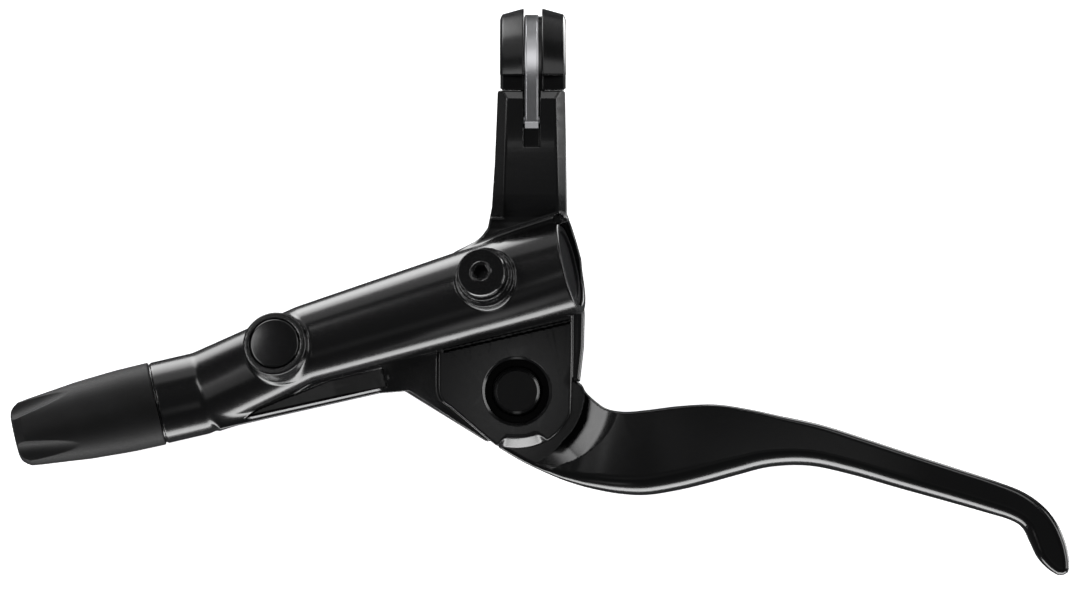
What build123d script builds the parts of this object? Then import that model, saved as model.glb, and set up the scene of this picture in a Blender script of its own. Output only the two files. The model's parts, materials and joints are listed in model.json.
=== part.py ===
# Left-hand hydraulic disc-brake lever, released, seen in its own frame:
# handlebar axis along X through the origin, lever plane in XY, +Z up.
from build123d import *
import math
import os

# ------------------------------------------------------------------ dimensions (mm)
BAR_R = 11.1            # handlebar clamp bore
CLAMP_W = 12.5          # clamp width along the bar
SPLIT = 0.35            # half gap between the clamp halves

CYL_ANG = 13.0          # cylinder axis against the bar, seen from above
CYL_O = (-71.44, -59.58)  # cylinder axis at the edge of the hose cover
ZC = -7.0               # height of the cylinder and lever plane
BORE_R = 4.75           # master-cylinder bore
HOUSE_R = 6.6           # outside of the cylinder
SPIGOT_R = 7.85

PIVOT = (-3.04, -57.19)
PIN_R = 3.5
LEVER_TRAVEL = 24.0     # degrees
ARM = 13.205            # pivot to push-rod barrel

SLOT_LO, SLOT_HI = -11.1, -2.9      # lever slot between the ears
HUB_LO, HUB_HI = -10.8, -3.2        # lever hub
EAR_TOP = 2.0
EAR_BOT = -14.5

HINGE_Y, HINGE_Z = -6.0, 12.55      # strap hinge
BOLT_Z = -16.0                      # clamp bolt axis

# ------------------------------------------------------------------ helpers
CA, SA = math.cos(math.radians(CYL_ANG)), math.sin(math.radians(CYL_ANG))
ES = Vector(CA, SA, 0)
EN = Vector(-SA, CA, 0)
EZ = Vector(0, 0, 1)


def L(s, n, z):
    """point in the cylinder frame: s along the bore from the hose, n across, z up"""
    return Vector(CYL_O[0], CYL_O[1], 0) + ES * s + EN * n + EZ * z


def LD(s, n, z):
    return (ES * s + EN * n + EZ * z).normalized()


def rod(p, q, r):
    p, q = Vector(p), Vector(q)
    return Solid.make_cylinder(r, (q - p).length, Plane(origin=p, z_dir=q - p))


def taper(p, q, r0, r1):
    p, q = Vector(p), Vector(q)
    return Solid.make_cone(r0, r1, (q - p).length, Plane(origin=p, z_dir=q - p))


def prism(pts, z0, z1):
    w = Wire.make_polygon([Vector(*tuple(p)[:2], z0) for p in pts])
    return Solid.extrude(Face(w), Vector(0, 0, z1 - z0))


def prism_edges(edges, z0, z1):
    f = Face(Wire(edges)).moved(Location((0, 0, z0)))
    return Solid.extrude(f, Vector(0, 0, z1 - z0))


def prism_x(pts, x0, x1):
    """pts are (y, z)"""
    w = Wire.make_polygon([Vector(x0, p[0], p[1]) for p in pts])
    return Solid.extrude(Face(w), Vector(x1 - x0, 0, 0))


def box(x0, x1, y0, y1, z0, z1):
    return prism([(x0, y0), (x1, y0), (x1, y1), (x0, y1)], z0, z1)


def ring(p, q, r_out, r_in):
    return rod(p, q, r_out) - rod(p, q, r_in)


def half_space(origin, direction, size=80):
    pl = Plane(origin=origin, z_dir=direction)
    w = Wire.make_polygon([pl.from_local_coords(Vector(a, b, 0))
                           for a, b in ((-size, -size), (size, -size), (size, size), (-size, size))])
    return Solid.extrude(Face(w), Vector(direction).normalized() * size)


def hexagon(p, direction, af, depth):
    pl = Plane(origin=p, z_dir=direction)
    c = af / math.sqrt(3)
    w = Wire.make_polygon([pl.from_local_coords(Vector(c * math.cos(math.radians(60 * i)),
                                                       c * math.sin(math.radians(60 * i)), 0))
                           for i in range(6)])
    return Solid.extrude(Face(w), Vector(direction).normalized() * depth)


def revolved(profile, origin, axis_dir, radial_dir):
    """profile is (along, radius) pairs"""
    o, a, r = Vector(origin), Vector(axis_dir).normalized(), Vector(radial_dir).normalized()
    w = Wire.make_polygon([o + a * t + r * q for t, q in profile])
    return Solid.revolve(Face(w), 360, Axis(o, a))


def one(shape):
    """the largest solid of a result"""
    return max(shape.solids(), key=lambda q: q.volume)


def fil(shape, r, pick):
    edges = [e for e in shape.edges() if pick(e)]
    return shape.fillet(r, edges) if edges else shape


def cha(shape, c, pick):
    edges = [e for e in shape.edges() if pick(e)]
    return shape.chamfer(c, None, edges) if edges else shape


P0 = Vector(PIVOT[0], PIVOT[1], 0)

# push-rod barrel at rest: half the travel past the foot of the perpendicular
half = math.radians(LEVER_TRAVEL / 2)
foot_s = (P0 - L(0, 0, 0)).dot(ES)
foot_n = (P0 - L(0, 0, 0)).dot(EN)
T_S = foot_s + ARM * math.sin(half)
T_N = foot_n + ARM * math.cos(half)


# reservoir axis: rises and leans toward the bar on its way to the right
def R(s):
    return L(s, 4.6 + 0.0646 * (s - 30), 3.0 + 0.073 * (s - 30))


def r_out(s):
    return 7.35 + 0.0385 * (s - 30)


def r_in(s):
    return 4.2 + 0.0542 * (s - 24)


RES_DIR = (R(82.7) - R(30)).normalized()
END_N = LD(1, 0, 0.1875)
END_O = R(82.7)
BOSS_D = LD(-0.1064, 0.2504, 0.96)
BLEED_H = L(65.66, 10.48, 19.3)     # top of the bleed-screw head
PLUG_H = L(24.57, 6.21, 11.3)       # top of the plug

# ------------------------------------------------------------------ body casting
body = rod(L(0.3, 0, ZC), L(58.5, 0, ZC), HOUSE_R)
body = body + rod(L(0.3, 0, ZC), L(9.5, 0, ZC), SPIGOT_R)
body = body + rod(L(-0.1, 0, ZC), L(1, 0, ZC), 7.6)
body = body + rod(L(-4, 0, ZC), L(1, 0, ZC), 5.6)

# flare from the spigot to the reservoir
c0 = Wire.make_circle(7.7, Plane(origin=L(7.0, 0, ZC), x_dir=EZ, z_dir=ES))
c1 = Wire.make_circle(r_out(30), Plane(origin=R(30), x_dir=EZ - RES_DIR * RES_DIR.Z, z_dir=RES_DIR))
body = body + Solid.make_loft([c0, c1])

tube = taper(R(30), R(88), r_out(30), r_out(88))
tube = tube - half_space(END_O, END_N)
body = body + one(tube)

# lower flange of the cylinder with its pocket and rim
flange = prism([L(8.6, -2, 0), L(10.6, -7.5, 0), L(43.6, -7.65, 0), L(45.4, -6.6, 0), L(45.4, -2, 0)], -11.4, 0)
flange = flange - half_space(L(30, -2.6, -0.7), LD(0, -0.245, 1))
pocket = prism([L(15.66, -6.51, 0), L(43.3, -6.76, 0), L(43.3, -3.0, 0), L(33.2, -3.07, 0), L(18.47, -5.32, 0)], -6, 2)
flange = flange - (pocket & half_space(L(30, -2.6, -1.3), LD(0, -0.245, 1)))
body = body + one(flange)

# ear outline, anticlockwise from the left
EAR_R = 11.0
fl = Vector(0.852, -0.5234, 0)            # direction of the lever flank
nf = Vector(-0.5234, -0.852, 0)           # its outward normal
ear_t = P0 + nf * EAR_R                   # foot of the lower-left edge on the arc
ear_l = Vector(-18.0, -56.6, 0)
q2 = P0 + Vector(math.cos(math.radians(-22)), math.sin(math.radians(-22)), 0) * EAR_R
qm = P0 + Vector(math.cos(math.radians(-75)), math.sin(math.radians(-75)), 0) * EAR_R
qa = P0 + Vector(math.cos(math.radians(-112)), math.sin(math.radians(-112)), 0) * EAR_R
low_l = Vector(-15.6, -60.2, 0)


def ear_edges(top_y_left, top_y_right, x_right):
    return [
        Edge.make_line(Vector(-18.0, top_y_left, 0), ear_l),
        Edge.make_spline([ear_l, Vector(-17.3, -58.9, 0), low_l],
                         tangents=[Vector(0, -1, 0), fl]),
        Edge.make_line(low_l, qa),
        Edge.make_three_point_arc(qa, qm, q2),
        Edge.make_line(q2, Vector(x_right, -50.0, 0)),
        Edge.make_line(Vector(x_right, -50.0, 0), Vector(x_right, top_y_right, 0)),
        Edge.make_line(Vector(x_right, top_y_right, 0), Vector(-18.0, top_y_left, 0)),
    ]


block = prism_edges(ear_edges(-44.0, -38.0, 7.4), EAR_BOT, EAR_TOP)
block = fil(block, 1.5, lambda e: abs(e.center().Z - EAR_TOP) < 1e-3 and e.center().Y < -44.5)
block = fil(block, 1.0, lambda e: abs(e.center().Z - EAR_BOT) < 1e-3 and e.center().Y < -44.5)
# skirt and wall at the right of the ears, and the wall behind the lever arm
skirt = prism([(2, -55.6), (8.95, -55.4), (9.7, -48.9), (9.85, -42.7), (9.5, -37.0), (2, -37)], EAR_BOT, -0.8)
skirt = fil(skirt, 1.2, lambda e: abs(e.center().Z + 0.8) < 1e-3 and e.center().X > 5)
rear = prism([L(44, 7.2, 0), L(44, -5.5, 0), L(60, -5.5, 0), L(78, -5.5, 0), L(82.3, 6.0, 0), L(82.0, 8.6, 0), L(60, 7.6, 0)], EAR_BOT + 1.2, -0.8)
# plate that carries the upper ear out to the flank and covers the inboard wing
plate = prism([L(41.5, 3, 0), L(41.5, -7.6, 0), (-23.56, -57.2), (-19.95, -59.47), (-8.55, -66.88), P0, L(62, 3, 0)], -3.5, 1.2)
plate = one(plate - half_space(L(41.5, 0, -1.0), LD(-0.185, 0, 1)))
body = body + block + one(skirt) + rear + plate

# strut from the tube to the handlebar
plan = prism([(-6.65, -0.35), (-6.75, -3), (-7.22, -14.06), (-7.79, -22.42), (-8.55, -26.22), (-9.5, -27.55),
              (-10.83, -28.88), (-14.0, -31.0), (-10, -38), (4, -38), (8.3, -36.0), (8.74, -32.3), (7.4, -27.3),
              (6.46, -23.75), (6.27, -11.59), (6.08, -1.9), (6.05, -0.35)], -25, 25)
side = prism_x([(-0.35, 13.0), (-1.9, 13.9), (-8, 13.3), (-12, 12.5), (-20, 9.9), (-26.5, 7.3), (-36, 6.0),
                (-38, -6), (-30, -9.5), (-22, -9.5), (-15, -10.5), (-10.6, -13.0), (-10.6, -20.6), (-9.6, -21.2),
                (-1.2, -21.2), (-0.35, -20.4)], -30, 30)
strut = one(plan & side)
# bevels along both sides of the top face, down to its foot
CREST = [(0.6, 12.45), (-1.9, 13.9), (-8, 13.3), (-12, 12.5), (-20, 9.9), (-24.3, 8.18)]
for xa, xb, sgn in ((4.2, 4.75, 1), (-4.95, -5.7, -1)):
    for (ya, za), (yb, zb) in zip(CREST, CREST[1:]):
        ends = []
        for y, z in ((ya, za), (yb, zb)):
            x = xa + (xb - xa) * (y + 2) / -22.0
            ends.append(Wire.make_polygon([Vector(x, y, z), Vector(x + sgn * 5, y, z - 4.25),
                                           Vector(x + sgn * 5, y, z + 4), Vector(x, y, z + 4)]))
        strut = one(strut - Solid.make_loft(ends, True))
# narrower lug round the clamp bolt, and a core pocket under the strut
strut = one(strut - box(5.3, 12, -12, 0, -25, -12.5) - box(-12, -5.3, -12, 0, -25, -12.5))
strut = one(strut - box(-4.2, 3.6, -27.0, -13.0, -25, 3.5))
body = body + strut

# bosses
body = body + rod(BLEED_H - BOSS_D * 8.0, BLEED_H - BOSS_D * 2.2, 5.05) + rod(BLEED_H - BOSS_D * 9.0, BLEED_H - BOSS_D * 4.3, 5.75)
body = body + rod(PLUG_H - BOSS_D * 7.0, PLUG_H - BOSS_D * 0.4, 6.1)

# --- cuts
# reservoir cavity and end-cap seat
cavity = taper(R(24), R(81), r_in(24), r_in(81))
seat_cut = rod(END_O - END_N * 3.4, END_O + END_N * 3, 8.0)
body = body - (cavity + seat_cut)
slot = prism([L(45.6, -6.85, 0), L(45.6, -40, 0), L(110, -40, 0), L(110, -6.85, 0)], SLOT_LO, SLOT_HI)
slot = slot + prism([L(58.4, -8, 0), L(75.8, -8, 0), L(75.8, 5.7, 0), L(58.4, 5.7, 0)], SLOT_LO, SLOT_HI)
body = body - slot
body = body - rod((-20, 0, 0), (20, 0, 0), BAR_R)
# master-cylinder bore, stop-ring groove, fluid passage, gland seat
body = body - rod(L(9, 0, ZC), L(60, 0, ZC), BORE_R)
body = body - rod(L(55.5, 0, ZC), L(56.5, 0, ZC), 5.4)
body = body - rod(L(5, 0, ZC), L(10, 0, ZC), 1.3)
body = body - rod(L(-5, 0, ZC), L(6.3, 0, ZC), 4.0)
# compensating port
body = body - rod(L(33.5, 2.2, ZC), L(33.5, 3.2, 2.0), 0.7)
# pivot
body = body - rod((PIVOT[0], PIVOT[1], -20), (PIVOT[0], PIVOT[1], 10), PIN_R)
body = body - rod((PIVOT[0], PIVOT[1], 0.6), (PIVOT[0], PIVOT[1], 3), 6.1)
body = body - ring((PIVOT[0], PIVOT[1], -1.0), (PIVOT[0], PIVOT[1], 1), 6.1, 4.7)
# bleed screw seat and hole
body = body - rod(BLEED_H - BOSS_D * 12.0, BLEED_H, 2.5)
body = body - rod(BLEED_H - BOSS_D * 3.4, BLEED_H, 3.9)
# plug seat and hole
body = body - rod(PLUG_H - BOSS_D * 9.0, PLUG_H, 3.0)
body = body - rod(PLUG_H - BOSS_D * 2.4, PLUG_H + BOSS_D, 4.75)
# small drilled dimple beside the foot of the strut
body = body - rod((4.7, -24.6, 6.6), (4.7, -24.6, 20), 0.95)
# strap groove, hinge recess, hinge-pin hole
body = body - box(-1.75, 1.25, -8.0, 1, 12.85, 20)
body = body - box(-1.75, 1.25, -11.0, -3.9, 10.5, 20)
body = body - rod((-4.6, HINGE_Y, HINGE_Z), (9, HINGE_Y, HINGE_Z), 0.75)
# clamp bolt: thread at the level of the hinge, clearance up to the split
body = body - rod((0, -12, BOLT_Z), (0, 0, BOLT_Z), 2.5)
body = body - rod((0, -3.0, BOLT_Z), (0, 1, BOLT_Z), 3.2)
body = one(body)

# ------------------------------------------------------------------ lever
# blade sections: back-edge point, front-edge point, height, back and front corner radii
BLADE = [
    ((5.2, -53.6), (-6.6, -67.9), 7.6, 0.8, 0.8),
    ((8.93, -55.67), (-1.71, -70.78), 7.6, 0.7, 0.9),
    ((10.07, -57.38), (4.3, -73.55), 7.7, 0.6, 1.6),
    ((11.97, -59.19), (8.2, -74.95), 8.5, 0.6, 2.4),
    ((14.25, -60.67), (12.0, -75.95), 10.2, 0.6, 3.2),
    ((17.6, -61.2), (16.53, -76.76), 11.8, 0.6, 4.0),
    ((21.85, -60.86), (21.6, -77.0), 12.6, 0.6, 4.6),
    ((28.0, -60.1), (27.6, -76.08), 12.6, 0.6, 4.8),
    ((34.77, -59.81), (33.2, -74.75), 12.0, 0.6, 4.8),
    ((41.0, -60.68), (38.9, -73.18), 11.3, 0.6, 4.7),
    ((47.5, -62.05), (45.2, -71.65), 10.8, 0.6, 4.5),
    ((55.0, -63.68), (52.6, -71.45), 10.5, 0.6, 4.4),
    ((63.0, -66.2), (60.5, -73.1), 10.2, 0.6, 4.2),
    ((72.0, -69.17), (69.6, -75.7), 9.9, 0.6, 4.0),
    ((81.0, -72.06), (78.7, -78.22), 9.6, 0.6, 3.8),
    ((88.0, -74.35), (86.0, -80.3), 9.3, 0.6, 3.6),
    ((93.2, -76.4), (90.6, -81.7), 9.1, 0.6, 3.4),
    ((97.0, -79.1), (93.1, -83.25), 8.9, 0.7, 3.0),
    ((99.6, -82.35), (94.55, -86.05), 8.7, 0.8, 2.6),
    ((101.2, -86.0), (96.0, -88.95), 8.4, 0.9, 2.2),
    ((101.85, -89.0), (97.9, -91.0), 7.8, 0.9, 1.6),
    ((101.95, -90.9), (99.6, -92.15), 6.4, 0.8, 0.9),
]


def blade_section(u, w, hgt, rb, rf):
    u, w = Vector(*u, ZC), Vector(*w, ZC)
    d = (w - u).normalized()
    wd = (w - u).length
    pl = Plane(origin=u, x_dir=d, z_dir=d.cross(EZ))
    g = lambda a, b: pl.from_local_coords(Vector(a, b, 0))
    hh = hgt / 2
    k = math.sqrt(0.5)
    up = 1 if (g(0, 1) - g(0, 0)).Z > 0 else -1

    def q(a, b):
        return g(a, b * up)
    edges = [
        Edge.make_line(q(rb, hh), q(wd - rf, hh)),
        Edge.make_three_point_arc(q(wd - rf, hh), q(wd - rf + rf * k, hh - rf + rf * k), q(wd, hh - rf)),
        Edge.make_line(q(wd, hh - rf), q(wd, -hh + rf)),
        Edge.make_three_point_arc(q(wd, -hh + rf), q(wd - rf + rf * k, -hh + rf - rf * k), q(wd - rf, -hh)),
        Edge.make_line(q(wd - rf, -hh), q(rb, -hh)),
        Edge.make_three_point_arc(q(rb, -hh), q(rb - rb * k, -hh + rb - rb * k), q(0, -hh + rb)),
        Edge.make_line(q(0, -hh + rb), q(0, hh - rb)),
        Edge.make_three_point_arc(q(0, hh - rb), q(rb - rb * k, hh - rb + rb * k), q(rb, hh)),
    ]
    return Wire(edges)


blade = Solid.make_loft([blade_section(*b) for b in BLADE])
hub = rod((PIVOT[0], PIVOT[1], HUB_LO), (PIVOT[0], PIVOT[1], HUB_HI), 10.0)
T = L(T_S, T_N, 0)
side_dir = Vector(-(T - P0).Y, (T - P0).X, 0).normalized()
arm = prism([P0 + side_dir * 6.0, T + side_dir * 5.0, T - side_dir * 5.0, P0 - side_dir * 6.0], HUB_LO, HUB_HI)
arm = arm + rod((T.X, T.Y, HUB_LO), (T.X, T.Y, HUB_HI), 5.0)
# inboard wing that closes the slot and rests on the end of the cylinder
wing = prism([L(46.2, -8.15, 0), ear_t + nf * 0.24, P0, L(60.0, -7.15, 0), L(46.6, -7.15, 0)], HUB_LO, HUB_HI)
lever = blade + hub + arm + wing
lever = one(lever)
lever = lever - rod((PIVOT[0], PIVOT[1], -20), (PIVOT[0], PIVOT[1], 10), 4.6)
lever = lever - rod((T.X, T.Y, -20), (T.X, T.Y, 10), 3.45)
for k in range(7):
    a = math.radians(CYL_ANG - LEVER_TRAVEL * k / 6.0)
    d = Vector(math.cos(a), math.sin(a), 0)
    m = Vector(-d.Y, d.X, 0)
    lever = lever - prism([T - d * 9 - m * 2.3, T + d * 9 - m * 2.3, T + d * 9 + m * 2.3, T - d * 9 + m * 2.3], ZC - 2.3, ZC + 2.3)
lever = one(lever)

# ------------------------------------------------------------------ pivot
pin = rod((PIVOT[0], PIVOT[1], -16.2), (PIVOT[0], PIVOT[1], 0.6), PIN_R)
pin = pin + rod((PIVOT[0], PIVOT[1], 0.6), (PIVOT[0], PIVOT[1], 1.75), 4.3)
pin = pin - ring((PIVOT[0], PIVOT[1], -15.4), (PIVOT[0], PIVOT[1], -14.6), 6, 2.9)
pin = cha(one(pin), 0.25, lambda e: e.geom_type == GeomType.CIRCLE and (abs(e.center().Z - 1.75) < 1e-3 or abs(e.center().Z + 16.2) < 1e-3))
bush_u = ring((PIVOT[0], PIVOT[1], ZC + 0.1), (PIVOT[0], PIVOT[1], HUB_HI + 0.1), 4.6, PIN_R + 0.03)
bush_l = ring((PIVOT[0], PIVOT[1], HUB_LO - 0.1), (PIVOT[0], PIVOT[1], ZC - 0.1), 4.6, PIN_R + 0.03)
clip = ring((PIVOT[0], PIVOT[1], -15.35), (PIVOT[0], PIVOT[1], -14.65), 6.0, 2.9)
clip = one(clip - box(PIVOT[0] - 2.3, PIVOT[0] + 2.3, PIVOT[1] - 10, PIVOT[1], -17, -13))

# ------------------------------------------------------------------ push rod, piston, spring
trunnion = rod((T.X, T.Y, HUB_LO + 0.25), (T.X, T.Y, HUB_HI - 0.25), 3.4)
trunnion = one(trunnion - rod(L(T_S - 6, T_N, ZC), L(T_S + 6, T_N, ZC), 1.9))
p_rod = rod(L(48.0, T_N, ZC), L(74.9, T_N, ZC), 1.9)
p_rod = one(p_rod + Solid.make_sphere(1.9, Plane(origin=L(48.0, T_N, ZC))))
p_rod = one(p_rod - hexagon(L(74.9, T_N, ZC), ES * -1, 2.0, 2.2))

piston = revolved([(25.4, 0), (25.4, 2.1), (28.0, 2.1), (28.0, 4.6), (29.6, 4.6), (29.6, 3.2), (32.2, 3.2), (32.2, 4.7),
                   (34.0, 4.7), (34.0, 3.4), (47.5, 3.4), (47.5, 4.7), (49.6, 4.7), (49.6, 3.2), (52.0, 3.2), (52.0, 4.7),
                   (55.4, 4.7), (55.4, 2.45), (47.9, 2.45), (46.6, 2.1), (45.85, 0)], L(0, 0, ZC), ES, EZ)
seal_1 = revolved([(29.7, 3.2), (32.1, 3.2), (32.1, 4.2), (30.6, 4.2), (29.7, 4.72)][::-1], L(0, 0, ZC), ES, EZ)
seal_1 = seal_1 + ring(L(29.7, 0, ZC), L(30.4, 0, ZC), 4.72, 3.2)
seal_1 = one(seal_1)
seal_2 = ring(L(49.8, 0, ZC), L(51.8, 0, ZC), 4.72, 3.2)
stop = one(ring(L(55.55, 0, ZC), L(56.45, 0, ZC), 5.35, 3.1)
           - prism([L(55, -8, 0), L(57, -8, 0), L(57, 0, 0), L(55, 0, 0)], ZC - 1.5, ZC + 1.5))
coil = Edge.make_helix(2.55, 17.4, 3.15, center=L(9.75, 0, ZC), normal=ES)
sec = Wire.make_circle(0.42, Plane(origin=coil @ 0, z_dir=coil % 0))
spring = Solid.sweep(Face(sec), coil, is_frenet=True)

# ------------------------------------------------------------------ reservoir
blad_o = taper(R(30), R(81), r_in(30) - 0.45, r_in(81) - 0.45)
blad_i = taper(R(31), R(82), r_in(31) - 1.25, r_in(82) - 1.25)
seat = END_O - END_N * 3.4
bladder = (blad_o - half_space(seat, END_N)) + rod(seat, seat + END_N * 0.8, 7.95)
bladder = one(bladder - blad_i - rod(seat - END_N * 0.5, seat + END_N * 2, 5.3))
cap_e = rod(seat + END_N * 0.8, seat + END_N * 2.9, 7.75)
cap_e = one(cap_e - ring(seat + END_N * 1.25, seat + END_N * 2.05, 9, 7.05))
cap_e = cap_e - rod(seat + END_N * 2.3, seat + END_N * 3.5, 6.55)
cap_e = one(cap_e)
cap_seal = ring(seat + END_N * 1.25, seat + END_N * 2.05, 7.98, 7.05)

# bleed screw and its ring
h = BLEED_H
bleed = rod(h - BOSS_D * 2.1, h, 4.66) + rod(h - BOSS_D * 7.6, h - BOSS_D * 2.0, 2.5)
bleed = cha(one(bleed), 0.4, lambda e: e.geom_type == GeomType.CIRCLE and (e.center() - h).length < 0.05)
bleed = bleed - taper(h - BOSS_D * 0.75, h + BOSS_D * 0.01, 1.3, 1.96)
bleed = one(bleed - hexagon(h, BOSS_D * -1, 2.5, 2.6))
bleed_o = Solid.make_torus(3.2, 0.62, Plane(origin=h - BOSS_D * 2.75, z_dir=BOSS_D))
# plug and its ring
g = PLUG_H
plug = rod(g - BOSS_D * 2.4, g - BOSS_D * 0.5, 4.7) + rod(g - BOSS_D * 6.0, g - BOSS_D * 2.4, 2.95)
dome = Solid.make_sphere(22.0, Plane(origin=g - BOSS_D * 22.0))
plug = one(plug + (rod(g - BOSS_D * 2.4, g + BOSS_D, 4.66) & dome))
plug = one(plug - ring(g - BOSS_D * 3.9, g - BOSS_D * 2.9, 4, 2.1))
plug_o = Solid.make_torus(2.54, 0.42, Plane(origin=g - BOSS_D * 3.4, z_dir=BOSS_D))

# ------------------------------------------------------------------ hose end
nut = rod(L(-4, 0, ZC), L(4.0, 0, ZC), 4.0) + hexagon(L(-4, 0, ZC), ES * -1, 8.0, 5.0)
nut = one(nut - rod(L(-10, 0, ZC), L(5, 0, ZC), 2.6) - rod(L(-4.25, 0, ZC), L(5, 0, ZC), 2.85))
olive = revolved([(4.0, 2.85), (4.0, 3.3), (4.7, 3.8), (5.6, 3.8), (6.25, 3.3), (6.25, 2.85)], L(0, 0, ZC), ES, EZ)
cover = revolved([(-0.1, 5.6), (-0.1, 7.85), (-0.35, 8.0), (-6, 7.95), (-9, 7.78), (-14.5, 7.45), (-20, 6.85), (-25.9, 6.15),
                  (-27.2, 5.2), (-27.8, 4.2), (-27.8, 2.95), (-9.3, 2.95), (-9.3, 4.9), (-4.05, 4.9), (-4.05, 5.6)],
                 L(0, 0, ZC), ES, EZ)
for ang in (55, -35, 145, -125):
    a = math.radians(ang)
    rad = EN * math.sin(a) + EZ * math.cos(a)
    cover = cover - rod(L(-29.5, 0, ZC) + rad * 7.9, L(-14.0, 0, ZC) + rad * 11.6, 3.6)
cover = one(cover)

# ------------------------------------------------------------------ clamp
w2 = CLAMP_W / 2
cprof = [(-w2, BAR_R), (-w2, 13.6), (-w2 + 0.5, 14.3), (-1.95, 15.35), (-1.7, 15.15), (-1.7, 13.1), (1.7, 13.1), (1.7, 15.15), (1.95, 15.35),
         (w2 - 0.5, 14.3), (w2, 13.6), (w2, BAR_R)]
wc = Wire.make_polygon([Vector(x, 0, r) for x, r in cprof])
cap = Solid.revolve(Face(wc), 360, Axis((0, 0, 0), (1, 0, 0)))
cap = one(cap - box(-20, 20, -30, SPLIT, -30, 30))
# lip below the shoulders
cap = one(cap - (box(-20, 20, 0, 2.47, 2, 30) - rod((-5.95, 0, 0), (5.95, 0, 0), 13.45)))
lip = ring((-5.95, 0, 0), (5.95, 0, 0), 13.45, BAR_R) & box(-5.95, 5.95, -0.25, 2.0, 2, 20)
cap = one(cap + (lip - (box(-1.7, 1.7, -1, 3, 2, 20) - rod((-5, 0, 0), (5, 0, 0), 13.1))))
lug = box(-5, 5, SPLIT, 7.2, -20.6, -9) - rod((-20, 0, 0), (20, 0, 0), BAR_R)
lug = one(lug)
lug = fil(lug, 1.5, lambda e: abs(e.center().Z + 20.6) < 1e-3 and abs(abs(e.center().X) - 5) < 1e-3)
cap = cap + lug
cap = one(cap - rod((0, -1, BOLT_Z), (0, 9, BOLT_Z), 2.75)
          - box(-4.6, 4.6, 7.2, 20, -25, -10.4))

sx0, sx1 = -1.5, 1.0
band = ring((sx0, 0, 0), (sx1, 0, 0), 14.2, 13.1)
keep = prism_x([(0, 0), (0, 20), (30, 20), (30, -20), (7.2 * 2.2, -11.08 * 2.2)], sx0 - 1, sx1 + 1)
band = one(band & keep)
strap = band + box(sx0, sx1, HINGE_Y, 0.0, 13.1, 14.2)
strap = strap + rod((sx0, HINGE_Y, HINGE_Z), (sx1, HINGE_Y, HINGE_Z), 1.65)
strap = strap + box(-4.3, 4.3, 7.2, 8.3, -20.2, -11.2) + box(sx0, sx1, 7.2, 8.3, -11.6, -10.6)
strap = strap - rod((-5, HINGE_Y, HINGE_Z), (5, HINGE_Y, HINGE_Z), 0.78)
strap = one(strap - rod((0, 5, BOLT_Z), (0, 10, BOLT_Z), 2.75))
strap_pin = rod((-4.6, HINGE_Y, HINGE_Z), (4.7, HINGE_Y, HINGE_Z), 0.75)
washer = ring((0, 8.3, BOLT_Z), (0, 9.3, BOLT_Z), 4.35, 2.75)
bolt = rod((0, -9.0, BOLT_Z), (0, 9.3, BOLT_Z), 2.24) + rod((0, 9.3, BOLT_Z), (0, 14.2, BOLT_Z), 4.2)
bolt = cha(one(bolt), 0.35, lambda e: e.geom_type == GeomType.CIRCLE and (abs(e.center().Y - 14.2) < 1e-3 or abs(e.center().Y + 9.0) < 1e-3))
bolt = one(bolt - hexagon((0, 14.2, BOLT_Z), (0, -1, 0), 4.0, 2.8))

# ------------------------------------------------------------------ export
NODES = {
    "lever_body": body, "brake_lever": lever, "pivot_pin": pin, "pivot_bush_upper": bush_u, "pivot_bush_lower": bush_l,
    "pivot_circlip": clip, "push_rod": p_rod, "push_rod_trunnion": trunnion, "piston": piston, "primary_seal": seal_1,
    "secondary_seal": seal_2, "return_spring": spring, "piston_stop_ring": stop, "reservoir_bladder": bladder,
    "reservoir_cap": cap_e, "reservoir_cap_seal": cap_seal, "bleed_screw": bleed, "bleed_screw_o_ring": bleed_o,
    "port_plug": plug, "port_plug_o_ring": plug_o, "hose_nut": nut, "compression_olive": olive, "hose_cover": cover,
    "clamp_cap": cap, "clamp_strap": strap, "strap_pin": strap_pin, "clamp_washer": washer, "clamp_bolt": bolt,
}
os.makedirs("parts", exist_ok=True)
for name, shape in NODES.items():
    export_step(shape, "parts/" + name + ".step")
    bb = shape.bounding_box()
    print(name, round(shape.volume, 1), shape.is_valid, [round(v, 2) for v in (*bb.min, *bb.max)])
print("barrel", T_S, T_N, "pivot foot", foot_s, foot_n)
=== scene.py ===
import json
import math
from concurrent.futures import ThreadPoolExecutor

import bpy
import bmesh
import numpy as np
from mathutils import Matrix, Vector


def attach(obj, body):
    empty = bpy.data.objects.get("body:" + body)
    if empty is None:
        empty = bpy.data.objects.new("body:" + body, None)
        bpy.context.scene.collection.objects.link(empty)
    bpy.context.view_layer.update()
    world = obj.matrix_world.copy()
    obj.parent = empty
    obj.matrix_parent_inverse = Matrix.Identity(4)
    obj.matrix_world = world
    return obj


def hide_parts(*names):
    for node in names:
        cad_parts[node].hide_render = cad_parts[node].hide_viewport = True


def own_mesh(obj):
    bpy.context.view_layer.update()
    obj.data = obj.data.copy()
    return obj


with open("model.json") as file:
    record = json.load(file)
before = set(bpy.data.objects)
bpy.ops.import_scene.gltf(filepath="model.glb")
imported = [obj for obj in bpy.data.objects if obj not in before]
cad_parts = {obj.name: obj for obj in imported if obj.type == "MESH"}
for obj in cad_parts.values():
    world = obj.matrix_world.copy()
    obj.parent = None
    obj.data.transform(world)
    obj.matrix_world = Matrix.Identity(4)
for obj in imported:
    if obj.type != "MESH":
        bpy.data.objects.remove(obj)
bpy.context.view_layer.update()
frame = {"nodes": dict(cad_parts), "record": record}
NODES = frame["nodes"]
scene = bpy.context.scene
MM = 0.001

# ------------------------------------------------------------------ distance-field helpers (mm)
F = np.float32


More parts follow.
